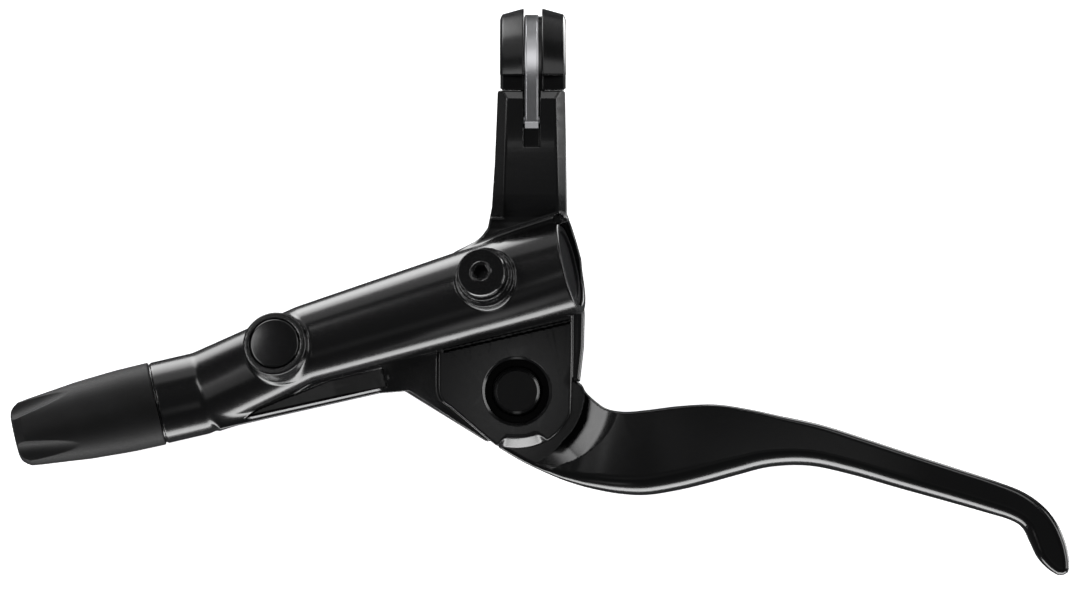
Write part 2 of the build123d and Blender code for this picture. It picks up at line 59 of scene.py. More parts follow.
def U(a, b, r):
    """union with a round fillet"""
    if r <= 0:
        return np.minimum(a, b)
    ua, ub = np.maximum(r - a, 0), np.maximum(r - b, 0)
    return np.maximum(r, np.minimum(a, b)) - np.sqrt(ua * ua + ub * ub)


def I(a, b, r):
    """intersection with a rounded edge"""
    if r <= 0:
        return np.maximum(a, b)
    ua, ub = np.maximum(r + a, 0), np.maximum(r + b, 0)
    return np.minimum(-r, np.maximum(a, b)) + np.sqrt(ua * ua + ub * ub)


def D(a, b, r):
    return I(a, -b, r)


def IV(a, b, r):
    """intersection with an edge radius that varies"""
    ua, ub = np.maximum(r + a, 0), np.maximum(r + b, 0)
    return np.minimum(-r, np.maximum(a, b)) + np.sqrt(ua * ua + ub * ub)


def poly(px, py, pts):
    """signed distance to a closed polygon"""
    pts = [(float(a), float(b)) for a, b in pts]
    best, inside = None, None
    for i in range(len(pts)):
        ax, ay = pts[i]
        bx, by = pts[i - 1]
        ex, ey = bx - ax, by - ay
        wx, wy = px - F(ax), py - F(ay)
        t = np.clip((wx * F(ex) + wy * F(ey)) / F(ex * ex + ey * ey + 1e-12), 0, 1)
        dx, dy = wx - t * F(ex), wy - t * F(ey)
        d = dx * dx + dy * dy
        c1, c2 = py >= F(ay), py < F(by)
        c3 = F(ex) * wy > F(ey) * wx
        flip = (c1 & c2 & c3) | (~c1 & ~c2 & ~c3)
        best = d if best is None else np.minimum(best, d)
        inside = flip if inside is None else inside ^ flip
    return np.where(inside, -1, 1).astype(F) * np.sqrt(best)


def line_dist(px, py, pts):
    """distance to an open polyline"""
    best = None
    for (ax, ay), (bx, by) in zip(pts[:-1], pts[1:]):
        ex, ey = bx - ax, by - ay
        wx, wy = px - F(ax), py - F(ay)
        t = np.clip((wx * F(ex) + wy * F(ey)) / F(ex * ex + ey * ey + 1e-12), 0, 1)
        dx, dy = wx - t * F(ex), wy - t * F(ey)
        d = dx * dx + dy * dy
        best = d if best is None else np.minimum(best, d)
    return np.sqrt(best)


def bspan(v, a, b):
    return np.abs(v - F((a + b) / 2)) - F((b - a) / 2)


def spline(pts, n=10, closed=False):
    """Catmull-Rom points through pts"""
    p = np.array(pts, float)
    m = len(p)
    out = []
    for i in range(m if closed else m - 1):
        if closed:
            p0, p1, p2, p3 = p[i - 1], p[i], p[(i + 1) % m], p[(i + 2) % m]
        else:
            p0, p1, p2, p3 = p[max(i - 1, 0)], p[i], p[i + 1], p[min(i + 2, m - 1)]
        for k in range(n):
            t = k / n
            out.append(0.5 * (2 * p1 + (p2 - p0) * t + (2 * p0 - 5 * p1 + 4 * p2 - p3) * t * t + (3 * p1 - p0 - 3 * p2 + p3) * t ** 3))
    if not closed:
        out.append(p[-1])
    return [tuple(q) for q in out]


def surface_nets(fn, lo, hi, h):
    """quads on the zero level of fn inside a box"""
    lo, hi = np.array(lo, float), np.array(hi, float)
    nx, ny, nz = [int(math.ceil((b - a) / h)) + 1 for a, b in zip(lo, hi)]
    xs = (lo[0] + h * np.arange(nx)).astype(F).reshape(-1, 1, 1)
    ys = (lo[1] + h * np.arange(ny)).astype(F).reshape(1, -1, 1)
    zs = (lo[2] + h * np.arange(nz)).astype(F).reshape(1, 1, -1)
    vol = np.empty((nx, ny, nz), F)
    slabs = [(i, min(i + 6, nx)) for i in range(0, nx, 6)]

    def run(ab):
        vol[ab[0]:ab[1]] = fn(xs[ab[0]:ab[1]], ys, zs)

    with ThreadPoolExecutor(4) as ex:
        list(ex.map(run, slabs))
    ins = vol < 0
    c = np.zeros((nx - 1, ny - 1, nz - 1), np.uint8)
    for dx in (0, 1):
        for dy in (0, 1):
            for dz in (0, 1):
                c += ins[dx:nx - 1 + dx, dy:ny - 1 + dy, dz:nz - 1 + dz]
    act = (c > 0) & (c < 8)
    ci, cj, ck = np.nonzero(act)
    index = np.full(act.shape, -1, np.int64)
    index[ci, cj, ck] = np.arange(len(ci))
    acc = np.zeros((len(ci), 3))
    cnt = np.zeros(len(ci))
    for axis in range(3):
        o1, o2 = [k for k in range(3) if k != axis]
        for a in (0, 1):
            for b in (0, 1):
                off = [0, 0, 0]
                off[o1], off[o2] = a, b
                d0 = vol[ci + off[0], cj + off[1], ck + off[2]]
                off2 = list(off)
                off2[axis] = 1
                d1 = vol[ci + off2[0], cj + off2[1], ck + off2[2]]
                m = (d0 < 0) != (d1 < 0)
                t = d0[m] / (d0[m] - d1[m])
                pos = np.zeros((int(m.sum()), 3))
                pos[:, 0], pos[:, 1], pos[:, 2] = off
                pos[:, axis] = t
                acc[m] += pos
                cnt[m] += 1
    verts = acc / cnt[:, None] + np.stack([ci, cj, ck], 1)
    verts = lo + verts * h
    quads = []
    for axis in range(3):
        o1, o2 = [(1, 2), (2, 0), (0, 1)][axis]
        sl0 = [slice(1, -1)] * 3
        sl1 = [slice(1, -1)] * 3
        sl0[axis], sl1[axis] = slice(0, -1), slice(1, None)
        a, b = ins[tuple(sl0)], ins[tuple(sl1)]
        e = np.nonzero(a != b)
        base = [e[0] + 1, e[1] + 1, e[2] + 1]
        base[axis] = e[axis]
        rev = b[e]

        def cell(d1, d2):
            q = [base[0], base[1], base[2]]
            q[o1] = base[o1] - d1
            q[o2] = base[o2] - d2
            return index[q[0], q[1], q[2]]
        q = np.stack([cell(1, 1), cell(0, 1), cell(0, 0), cell(1, 0)], 1)
        q[rev] = q[rev][:, ::-1]
        quads.append(q)
    return verts, np.concatenate(quads)


def value(fn, v):
    return fn(v[:, 0].astype(F), v[:, 1].astype(F), v[:, 2].astype(F)).astype(float)


def gradient(fn, v, e):
    g = np.zeros_like(v)
    for k in range(3):
        d = np.zeros(3)
        d[k] = e
        g[:, k] = (value(fn, v + d) - value(fn, v - d)) / (2 * e)
    return g


def settle(fn, v, steps, e=0.05, cap=0.25):
    """moves points onto the zero level"""
    for _ in range(steps):
        f = value(fn, v)
        g = gradient(fn, v, e)
        m = np.maximum((g * g).sum(1), 0.15)
        step = -(f / m)[:, None] * g
        ln = np.linalg.norm(step, axis=1, keepdims=True)
        v = v + step * np.minimum(1, cap / np.maximum(ln, 1e-9))
    return v


def field_mesh(name, fn, lo, hi, h, max_tris=0, eps=0.1):
    """smooth closed mesh of a distance field, in metres, with the field's own normals"""
    v, q = surface_nets(fn, lo, hi, h)
    v = settle(fn, v, 2)
    me = bpy.data.meshes.new(name)
    me.from_pydata(v.tolist(), [], q.tolist())
    if max_tris and 2 * len(q) > max_tris:
        ob = bpy.data.objects.new(name + "_work", me)
        scene.collection.objects.link(ob)
        md = ob.modifiers.new("thin", "DECIMATE")
        md.ratio = max_tris / (2 * len(q))
        dg = bpy.context.evaluated_depsgraph_get()
        thin = bpy.data.meshes.new_from_object(ob.evaluated_get(dg))
        bpy.data.objects.remove(ob)
        bpy.data.meshes.remove(me)
        me = thin
        me.name = name
        v = np.zeros(len(me.vertices) * 3, F)
        me.vertices.foreach_get("co", v)
        v = settle(fn, v.reshape(-1, 3).astype(float), 2, cap=0.12)
    g = gradient(fn, v, eps)
    g /= np.maximum(np.linalg.norm(g, axis=1, keepdims=True), 1e-9)
    me.vertices.foreach_set("co", (v * MM).astype(F).ravel())
    me.polygons.foreach_set("use_smooth", np.ones(len(me.polygons), bool))
    me.update()
    me.normals_split_custom_set_from_vertices(g.astype(F).tolist())
    ob = bpy.data.objects.new(name, me)
    scene.collection.objects.link(ob)
    return ob


# ------------------------------------------------------------------ layout, as in the part (mm)
CA, SA = math.cos(math.radians(13.0)), math.sin(math.radians(13.0))
OX, OY = -71.44, -59.58
ZC = -7.0
PX, PY = -3.04, -57.19


def loc(x, y):
    return (x - F(OX)) * F(CA) + (y - F(OY)) * F(SA), (y - F(OY)) * F(CA) - (x - F(OX)) * F(SA)


def L(s, n, z):
    return np.array([OX + s * CA - n * SA, OY + s * SA + n * CA, z])


def LD(s, n, z):
    d = np.array([s * CA - n * SA, s * SA + n * CA, z])
    return d / np.linalg.norm(d)


def R(s):
    return L(s, 4.6 + 0.0646 * (s - 30), 3.0 + 0.073 * (s - 30))


END_N = LD(1, 0, 0.1875)
END_O = R(82.7)
BOSS_D = LD(-0.1064, 0.2504, 0.96)
BLEED_H = L(65.66, 10.48, 19.3)
PLUG_H = L(24.57, 6.21, 11.3)


def plane(x, y, z, o, d):
    return (x - F(o[0])) * F(d[0]) + (y - F(o[1])) * F(d[1]) + (z - F(o[2])) * F(d[2])


def axial(x, y, z, o, d):
    """distance along and from an axis"""
    wx, wy, wz = x - F(o[0]), y - F(o[1]), z - F(o[2])
    t = wx * F(d[0]) + wy * F(d[1]) + wz * F(d[2])
    rx, ry, rz = wx - t * F(d[0]), wy - t * F(d[1]), wz - t * F(d[2])
    return t, np.sqrt(rx * rx + ry * ry + rz * rz)


def rod(x, y, z, o, d, t0, t1, r, edge=0.0):
    t, q = axial(x, y, z, o, d)
    return I(q - F(r), bspan(t, t0, t1), edge)


# centre line and radius of the tube along the cylinder axis
TS = np.linspace(-12, 100, 1121)


def soft(values, width):
    k = max(1, int(width / (TS[1] - TS[0])))
    for _ in range(2):
        pad = np.concatenate([np.full(k, values[0]), values, np.full(k, values[-1])])
        values = np.convolve(pad, np.ones(2 * k + 1) / (2 * k + 1), "same")[k:-k]
    return values


def knots(pairs):
    a = np.array(pairs, float)
    return np.interp(TS, a[:, 0], a[:, 1])


T_N = soft(knots([(-12, 0), (8.6, 0), (30, 4.6), (100, 4.6 + 0.0646 * 70)]), 0.4)
T_Z = soft(knots([(-12, -7), (8.6, -7), (30, 3.0), (100, 3.0 + 0.073 * 70)]), 0.4)
T_R = soft(knots([(-12, 7.85), (8.6, 7.85), (30, 7.35), (100, 7.35 + 0.0385 * 70)]), 0.4)
T_P = soft(knots([(-12, 2), (12, 2), (30, 2.2), (70, 2.2), (80.5, 2.02), (100, 2.0)]), 2.0)


def tab(s, t):
    return np.interp(s, TS, t).astype(F)


ES3, EN3 = np.array([CA, SA, 0.0]), np.array([-SA, CA, 0.0])

# ear outline
fl = np.array([0.852, -0.5234])
arc = [(PX + 11.0 * math.cos(math.radians(a)), PY + 11.0 * math.sin(math.radians(a))) for a in np.linspace(-112, -22, 28)]
EAR = [(-18.0, -44.0), (-18.0, -56.6)] + spline([(-18.0, -56.6), (-17.75, -57.9), (-17.0, -59.2), (-15.6, -60.2)], 5)[1:] + arc + [(7.4, -50.0), (7.4, -38.0)]
SKIRT = [(2, -55.6), (8.95, -55.4), (9.7, -48.9), (9.85, -42.7), (9.5, -37.0), (2, -37)]
PLAN = [(-6.62, 0.8), (-6.75, -3), (-7.22, -14.06), (-7.79, -22.42), (-8.55, -26.22), (-9.5, -27.55), (-10.83, -28.88), (-14.0, -31.0),
        (-10, -38), (4, -38), (8.3, -36.0), (8.74, -32.3), (7.4, -27.3), (6.46, -23.75), (6.27, -11.59), (6.08, -1.9), (6.05, 0.8)]
SIDE = [(-0.35, 13.0), (-1.9, 13.9), (-8, 13.3), (-12, 12.5), (-20, 9.9), (-26.5, 7.3), (-36, 6.0), (-38, -6), (-30, -9.5), (-22, -9.5),
        (-15, -10.5), (-10.6, -13.0), (-10.6, -20.6), (-9.6, -21.2), (-1.2, -21.2), (-0.35, -20.4)]
CREST = spline([(-36, 6.0), (-26.5, 7.3), (-20, 9.9), (-12, 12.5), (-8, 13.3), (-1.9, 13.9)], 6) + [(-0.35, 13.0)]
TOP_Y, TOP_Z = [a for a, _ in CREST], [b for _, b in CREST]
SIDE = CREST[::-1] + SIDE[7:]
FLANGE = [(8.6, -2), (10.6, -7.5), (43.6, -7.65), (45.4, -6.6), (45.4, -2)]
POCKET = [(15.66, -6.51), (43.3, -6.76), (43.3, -3.0), (33.2, -3.07), (18.47, -5.32)]
PLATE = [tuple(L(41.5, 3, 0)[:2]), tuple(L(41.5, -7.6, 0)[:2]), (-23.56, -57.2), (-19.95, -59.47), (-8.55, -66.88), (PX, PY), tuple(L(62, 3, 0)[:2])]
REAR = [(44, 7.2), (44, -5.5), (60, -5.5), (78, -5.5), (82.3, 6.0), (82.0, 8.6), (60, 7.6)]


def body_field(x, y, z):
    s, n = loc(x, y)
    # tube with its hose collar
    u, v = np.abs(n - tab(s, T_N)), np.abs(z - tab(s, T_Z))
    p = tab(s, T_P)
    tube = np.power(np.power(u + F(1e-4), p) + np.power(v + F(1e-4), p), 1 / p) - tab(s, T_R)
    tube = I(tube, F(0.3) - s, 0.2)
    tube = I(tube, plane(x, y, z, END_O, END_N), 0.35)
    house = I(np.sqrt(n * n + (z - F(ZC)) ** 2) - F(6.6), bspan(s, 10.8, 58.5), 0.3)
    d = U(tube, house, 1.0)
    nose = I(np.sqrt(n * n + (z - F(ZC)) ** 2) - F(5.6), bspan(s, -4, 2), 0.3)
    d = np.minimum(d, nose)
    d = np.minimum(d, np.maximum(np.sqrt(n * n + (z - F(ZC)) ** 2) - F(7.6), bspan(s, -0.1, 1.0)))
    # sheet below the tube: lower flange with a shallow rimmed pocket, rising to the ear
    zf = F(-0.7) + F(0.245) * (np.minimum(n, F(0)) + F(2.6))
    f = I(poly(s, n, FLANGE), np.maximum((z - zf) * F(0.97), F(-11.4) - z), 0.45)
    rise = np.clip((s - F(41.0)) / F(13.0), 0, 1)
    rise = rise * rise * (3 - 2 * rise)
    ptop = zf + rise * (F(1.2) - zf)
    run = (x + F(19.95)) * F(0.852) - (y + F(59.47)) * F(0.5234)
    ptop = np.minimum(ptop, F(1.2) - F(0.25) * np.clip(run - F(2.0), 0, 9))
    pl = I(poly(x, y, PLATE), np.maximum((z - ptop) * F(0.96), F(-3.5) - z), 0.3)
    d = U(d, np.minimum(f, pl), 1.2)
    deep = F(0.6) * np.clip((F(42.5) - s) / F(9.0), 0, 1)
    d = D(d, I(poly(s, n, POCKET), zf - deep - z, 0.15), 0.12)
    # ears
    e = I(poly(x, y, EAR), z - F(2.0), 0.35)
    # sloping lip round the foot of the upper ear
    qp = np.sqrt((x - F(PX)) ** 2 + (y - F(PY)) ** 2)
    th = np.abs(np.degrees(np.arctan2(y - F(PY), x - F(PX))) + F(84.0))
    g = np.clip((th - F(17.0)) / F(40.0), 0, 1)
    sl = F(1.28) * (1 - np.clip(th / F(41.0), 0, 1) ** 2)
    cone = (z - F(2.0) + sl * (qp - F(8.75)) - F(14.0) * g * g * (3 - 2 * g) - F(60.0) * np.maximum(th - F(60.0), 0)) * F(0.62)
    e = I(e, cone, 0.35)
    e = I(e, F(-14.5) - z, 1.0)
    k = I(I(poly(x, y, SKIRT), z - F(-0.8), 1.2), F(-14.5) - z, 0.8)
    e = U(e, k, 0.5)
    rr = I(poly(s, n, REAR), bspan(z, -13.3, -0.8), 0.5)
    e = U(e, rr, 0.5)
    d = U(d, e, 0.5)
    # narrow groove between the ear and the tube
    gr = np.maximum(np.maximum(np.abs(n + F(2.35)) - F(0.28), bspan(s, 55.2, 80.2)), F(1.35) - z)
    d = D(d, gr, 0.16)
    # strut
    st = I(poly(x, y, PLAN), poly(y, z, SIDE), 0.45)
    top = np.interp(y, TOP_Y, TOP_Z).astype(F)
    for xa, xb, sg in ((4.2, 4.75, 1.0), (-4.95, -5.7, -1.0)):
        x0 = F(xa) + F((xb - xa) / -22.0) * (y + F(2.0))
        bev = (z - np.where(y > F(-1.9), F(13.9), top) + F(0.85 * sg) * (x - x0)) * F(0.74)
        st = I(st, np.minimum(bev, y + F(24.3)), 0.22)
    lug = np.maximum(np.maximum(F(5.3) - np.abs(x), z - F(-12.5)), F(-12.0) - y)
    st = D(st, lug, 0.4)
    core = np.maximum(np.maximum(bspan(x, -4.2, 3.6), bspan(y, -27.0, -13.0)), z - F(3.5))
    st = D(st, core, 0.4)
    d = U(d, st, 1.3)
    # bosses
    d = U(d, rod(x, y, z, BLEED_H, BOSS_D, -9.0, -4.3, 5.75, 0.25), 0.35)
    d = U(d, rod(x, y, z, BLEED_H, BOSS_D, -8.0, -2.2, 5.05, 0.2), 0.2)
    d = U(d, rod(x, y, z, PLUG_H, BOSS_D, -7.0, -0.4, 6.1, 0.45), 0.9)
    # openings
    t = s
    cav = np.sqrt((n - (F(4.6) + F(0.0646) * (s - 30))) ** 2 + (z - (F(3.0) + F(0.073) * (s - 30))) ** 2) - (F(4.2) + F(0.0542) * (s - 24))
    cav = np.maximum(cav, bspan(s, 24.2, 81.0))
    cav = np.minimum(cav, rod(x, y, z, END_O, END_N, -3.4, 3.0, 8.0))
    d = D(d, cav, 0.25)
    sl = np.maximum(np.maximum(bspan(s, 45.6, 110.0), n - F(-6.85)), bspan(z, -11.1, -2.9))
    sl = np.minimum(sl, np.maximum(np.maximum(bspan(s, 58.4, 75.8), bspan(n, -8.0, 5.7)), bspan(z, -11.1, -2.9)))
    d = D(d, sl, 0.3)
    d = D(d, np.sqrt(y * y + z * z) - F(11.1), 0.35)
    q = np.sqrt(n * n + (z - F(ZC)) ** 2)
    bore = np.maximum(q - F(4.75), bspan(s, 9.0, 60.0))
    bore = np.minimum(bore, np.maximum(q - F(5.4), bspan(s, 55.5, 56.5)))
    bore = np.minimum(bore, np.maximum(q - F(1.3), bspan(s, 5.0, 10.0)))
    bore = np.minimum(bore, np.maximum(q - F(4.0), bspan(s, -5.0, 6.3)))
    d = D(d, bore, 0.15)
    q = np.sqrt((x - F(PX)) ** 2 + (y - F(PY)) ** 2)
    d = D(d, np.minimum(np.maximum(q - F(3.5), bspan(z, -20, 10)), np.maximum(np.maximum(q - F(6.1), F(-1.0) - z), np.minimum(F(4.7) - q, F(0.6) - z))), 0.2)
    d = D(d, np.maximum((qp - F(6.1) - F(1.355) * (z - F(1.67))) * F(0.6), bspan(z, 1.3, 2.6)), 0.03)
    hole = np.minimum(rod(x, y, z, BLEED_H, BOSS_D, -12.0, 0.5, 2.5), rod(x, y, z, BLEED_H, BOSS_D, -3.4, 0.5, 3.9))
    d = D(d, hole, 0.15)
    hole = np.minimum(rod(x, y, z, PLUG_H, BOSS_D, -9.0, 0.5, 3.0), rod(x, y, z, PLUG_H, BOSS_D, -2.4, 1.0, 4.78))
    d = D(d, hole, 0.2)
    g = np.maximum(np.maximum(bspan(x, -1.75, 1.25), F(-8.0) - y), F(12.85) - z)
    g = np.minimum(g, np.maximum(np.maximum(bspan(x, -1.75, 1.25), bspan(y, -11.0, -3.9)), F(10.5) - z))
    d = D(d, g, 0.2)
    # small drilled dimple beside the foot of the strut
    d = D(d, np.maximum(np.sqrt((x - F(4.7)) ** 2 + (y + F(24.6)) ** 2) - F(0.95), F(6.6) - z), 0.2)
    q = np.sqrt(x * x + (z + F(16.0)) ** 2)
    d = D(d, np.minimum(np.maximum(q - F(2.5), F(-12.0) - y), np.maximum(q - F(3.2), F(-3.0) - y)), 0.25)
    return d


# ------------------------------------------------------------------ lever
BLADE = [
    ((5.2, -53.6), (-6.6, -67.9), 7.6, 0.4, 0.8),
    ((8.93, -55.67), (-1.71, -70.78), 7.9, 0.4, 0.9),
    ((10.07, -57.38), (4.3, -73.55), 9.6, 0.4, 1.6),
    ((11.97, -59.19), (8.2, -74.95), 10.9, 0.4, 2.4),
    ((14.25, -60.67), (12.0, -75.95), 11.6, 0.4, 3.2),
    ((17.6, -61.2), (16.53, -76.76), 12.1, 0.4, 4.0),
    ((21.85, -60.86), (21.6, -77.0), 12.6, 0.4, 4.6),
    ((28.0, -60.1), (27.6, -76.08), 12.6, 0.4, 4.8),
    ((34.77, -59.81), (33.2, -74.75), 12.0, 0.4, 4.8),
    ((41.0, -60.68), (38.9, -73.18), 11.3, 0.4, 4.7),
    ((47.5, -62.05), (45.2, -71.65), 10.8, 0.7, 4.5),
    ((55.0, -63.68), (52.6, -71.45), 10.5, 0.9, 4.4),
    ((63.0, -66.2), (60.5, -73.1), 10.2, 0.9, 4.2),
    ((72.0, -69.17), (69.6, -75.7), 9.9, 0.9, 4.0),
    ((81.0, -72.06), (78.7, -78.22), 9.6, 0.9, 3.8),
    ((88.0, -74.35), (86.0, -80.3), 9.3, 0.9, 3.6),
    ((93.2, -76.4), (90.6, -81.7), 9.1, 0.9, 3.4),
    ((97.0, -79.1), (93.1, -83.25), 8.9, 1.5, 3.0),
    ((99.6, -82.35), (94.55, -86.05), 8.7, 1.5, 2.6),
    ((101.2, -86.0), (96.0, -88.95), 8.4, 1.5, 2.2),
    ((101.85, -89.0), (97.9, -91.0), 7.8, 1.5, 1.6),
    ((101.95, -90.9), (99.6, -92.15), 6.4, 1.0, 0.9),
]
BACK = spline([b[0] for b in BLADE], 5)
FRONT = spline([b[1] for b in BLADE], 5)
TIP = [(101.6, -91.75), (100.75, -92.2)]
OUTLINE = BACK + TIP + FRONT[::-1]
TX, TY = -3.2705, -43.987
ear_t = np.array([PX, PY]) + np.array([-0.5234, -0.852]) * 11.24
WING = [tuple(L(46.2, -8.15, 0)[:2]), tuple(ear_t), (PX, PY), tuple(L(60.0, -7.15, 0)[:2]), tuple(L(46.6, -7.15, 0)[:2])]
ax = np.array([TX - PX, TY - PY]) / math.hypot(TX - PX, TY - PY)
sd = np.array([-ax[1], ax[0]])
ARMP = [tuple(np.array([PX, PY]) + sd * 6), tuple(np.array([TX, TY]) + sd * 5), tuple(np.array([TX, TY]) - sd * 5), tuple(np.array([PX, PY]) - sd * 6)]


def blade_height(x, y):
    """half height and edge radii, blended from the nearest sections"""
    num = den = rb = rf = 0
    for (bx, by), (fx, fy), h, r0, r1 in BLADE:
        d = line_dist(x, y, [(bx, by), (fx, fy)])
        w = np.exp(-(d / F(2.6 if bx < 13 else 4.2 if bx < 20 else 6.5)) ** 2) * F(1.0 if bx < 20 else 1.6) + F(1e-7) / (1 + d * d)
        num, den = num + w * F(h / 2), den + w
        rb, rf = rb + w * F(r0), rf + w * F(r1)
    return num / den, rb / den, rf / den


def lever_field(x, y, z):
    hh, rb, rf = blade_height(x, y)
    rp = np.sqrt((x - F(PX)) ** 2 + (y - F(PY)) ** 2)
    ang = np.degrees(np.arctan2(y - F(PY), x - F(PX)))
    u = np.maximum(rp - F(12.9) - F(0.045) * np.clip(-ang - F(48.0), 0, 40), 0)
    v = np.clip(u - F(4.2), 0, 3.0)
    hh = U(hh, F(3.83) + F(0.37) * np.minimum(u, F(4.2)) + F(0.37) * v - F(0.0567) * v * v + F(0.03) * np.maximum(u - F(4.2), 0), 0.35)
    d2 = poly(x, y, OUTLINE)
    db, df = line_dist(x, y, BACK), line_dist(x, y, FRONT)
    t = np.clip(df / (db + df + F(1e-5)), 0, 1)
    t = t * t * (3 - 2 * t)
    r = rb * t + rf * (1 - t)
    zz = np.abs(z - F(ZC))
    blade = IV(d2, zz - hh, r)
    q = np.sqrt((x - F(PX)) ** 2 + (y - F(PY)) ** 2)
    flat = zz - F(3.8)
    hub = I(q - F(10.0), flat, 0.4)
    wing = I(poly(x, y, WING), flat, 0.5)
    arm = np.minimum(poly(x, y, ARMP), np.sqrt((x - F(TX)) ** 2 + (y - F(TY)) ** 2) - F(5.0))
    d = U(U(blade, hub, 0.25), U(wing, I(arm, flat, 0.4), 0.25), 0.25)
    d = D(d, q - F(4.6), 0.2)
    d = D(d, np.sqrt((x - F(TX)) ** 2 + (y - F(TY)) ** 2) - F(3.45), 0.2)
    rodslot = None
    for k in range(7):
        a = math.radians(13.0 - 24.0 * k / 6)
        c, s_ = math.cos(a), math.sin(a)
        m = np.abs((y - F(TY)) * F(c) - (x - F(TX)) * F(s_)) - F(2.3)
        al = np.abs((x - F(TX)) * F(c) + (y - F(TY)) * F(s_)) - F(9.0)
        b = np.maximum(m, al)
        rodslot = b if rodslot is None else np.minimum(rodslot, b)
    d = D(d, np.maximum(rodslot, zz - F(2.3)), 0.2)
    return d


# ------------------------------------------------------------------ hose cover
COV = [(-27.8, 4.2), (-27.55, 4.75), (-27.2, 5.2), (-26.7, 5.65), (-25.9, 6.15), (-24, 6.42), (-20, 6.85), (-14.5, 7.45), (-9, 7.78), (-6, 7.93), (-0.35, 8.0), (0.5, 8.0)]


def cover_field(x, y, z):
    s, n = loc(x, y)
    q = np.sqrt(n * n + (z - F(ZC)) ** 2)
    rr = np.interp(s, [a for a, _ in COV], [b for _, b in COV]).astype(F)
    d = q - rr
    d = I(d, s - F(-0.1), 0.22)
    d = I(d, F(-27.8) - s, 0.5)
    for ang in (55, -35, 145, -125):
        a = math.radians(ang)
        rad = EN3 * math.sin(a) + np.array([0, 0, math.cos(a)])
        p0 = L(-29.5, 0, ZC) + rad * 7.7
        p1 = L(-14.0, 0, ZC) + rad * 11.5
        dr = (p1 - p0) / np.linalg.norm(p1 - p0)
        d = D(d, axial(x, y, z, p0, dr)[1] - F(3.6), 0.05)
    inner = np.maximum(q - F(2.95), F(-30) - s)
    inner = np.minimum(inner, np.maximum(q - F(4.9), F(-9.3) - s))
    inner = np.minimum(inner, np.maximum(q - F(5.6), F(-4.05) - s))
    return D(d, inner, 0.2)


# ------------------------------------------------------------------ screws, plug, pin, end cap
BU = np.cross(BOSS_D, [1.0, 0, 0])
BU /= np.linalg.norm(BU)
BV = np.cross(BOSS_D, BU)


def hexa(x, y, z, o, u, v, af, turn=0.0):
    a, b = plane(x, y, z, o, u), plane(x, y, z, o, v)
    d = None
    for k in range(3):
        w = math.radians(60 * k + turn)
        e = np.abs(a * F(math.cos(w)) + b * F(math.sin(w))) - F(af / 2)
        d = e if d is None else np.maximum(d, e)
    return d


def screw_field(x, y, z):
    t, q = axial(x, y, z, BLEED_H, BOSS_D)
    d = I(q - F(4.66), bspan(t, -2.1, 0.0), 0.15)
    d = I(d, F(0.47) * t + F(0.883) * (q - F(4.4)), 0.08)
    d = U(d, np.maximum(q - F(2.5), bspan(t, -7.6, -1.9)), 0.1)
    d = U(d, np.sqrt((q - F(1.86)) ** 2 + (t + F(0.06)) ** 2) - F(0.2), 0.08)
    d = D(d, np.maximum(hexa(x, y, z, BLEED_H, BU, BV, 2.5), F(-2.6) - t), 0.12)
    return d


def plug_field(x, y, z):
    t, q = axial(x, y, z, PLUG_H, BOSS_D)
    dome = np.sqrt(q * q + (t + F(90.0)) ** 2) - F(90.0)
    d = I(np.maximum(q - F(4.68), F(-2.4) - t), dome, 0.35)
    d = U(d, np.maximum(q - F(2.95), bspan(t, -6.0, -2.2)), 0.1)
    return D(d, np.maximum(np.maximum(bspan(t, -3.9, -2.9), F(2.1) - q), q - F(4.0)), 0.08)


def pin_field(x, y, z):
    q = np.sqrt((x - F(PX)) ** 2 + (y - F(PY)) ** 2)
    d = I(q - F(4.3), bspan(z, 0.6, 1.75), 0.12)
    d = I(d, F(0.819) * (z - F(1.75)) + F(0.574) * (q - F(3.9)), 0.04)
    d = np.minimum(d, I(q - F(3.5), bspan(z, -16.2, 0.8), 0.3))
    return D(d, np.maximum(F(2.9) - q, bspan(z, -15.4, -14.6)), 0.05)


SEAT = END_O - END_N * 3.4


def endcap_field(x, y, z):
    t, q = axial(x, y, z, SEAT, END_N)
    d = I(q - F(7.75), bspan(t, 0.8, 2.9), 0.3)
    d = D(d, np.maximum(bspan(t, 1.25, 2.05), F(7.05) - q), 0.06)
    return D(d, I(q - F(6.55), F(2.3) - t, 0.35), 0.25)


# ------------------------------------------------------------------ bar clamp
def clamp_field(x, y, z):
    q = np.sqrt(y * y + z * z)
    ax = np.abs(x)
    out = np.interp(ax, [0, 1.95, 5.75, 6.25], [15.35, 15.35, 14.3, 13.75]).astype(F)
    d = I((q - out) * F(0.95), ax - F(6.25), 0.6)
    d = D(d, np.maximum(ax - F(1.7), F(13.1) - q), 0.22)
    low = np.where((z > 2.0) & (ax < 5.95), F(-0.32), F(0.35))
    d = I(d, low - y, 0.12)
    # lip below the shoulders
    lip = np.maximum(np.maximum(y - F(2.47), F(2.0) - z), F(13.45) - q)
    d = D(d, lip, 0.25)
    side = np.maximum(np.maximum(y - F(2.47), F(2.0) - z), F(5.95) - ax)
    d = D(d, side, 0.25)
    lug = I(I(ax - F(5.0), F(-20.6) - z, 1.5), np.maximum(bspan(y, 0.35, 7.2), z + F(9.0)), 0.35)
    d = U(d, lug, 0.8)
    d = D(d, np.maximum(np.maximum(ax - F(4.6), F(7.2) - y), z + F(10.4)), 0.2)
    d = np.maximum(d, low - y)
    d = D(d, q - F(11.1), 0.3)
    return D(d, np.sqrt(x * x + (z + F(16.0)) ** 2) - F(2.75), 0.2)


# ------------------------------------------------------------------ materials
def new_mat(name):
    m = bpy.data.materials.new(name)
    m.use_nodes = True
    nt = m.node_tree
    bsdf = next(n for n in nt.nodes if n.type == "BSDF_PRINCIPLED")
    return m, nt, bsdf


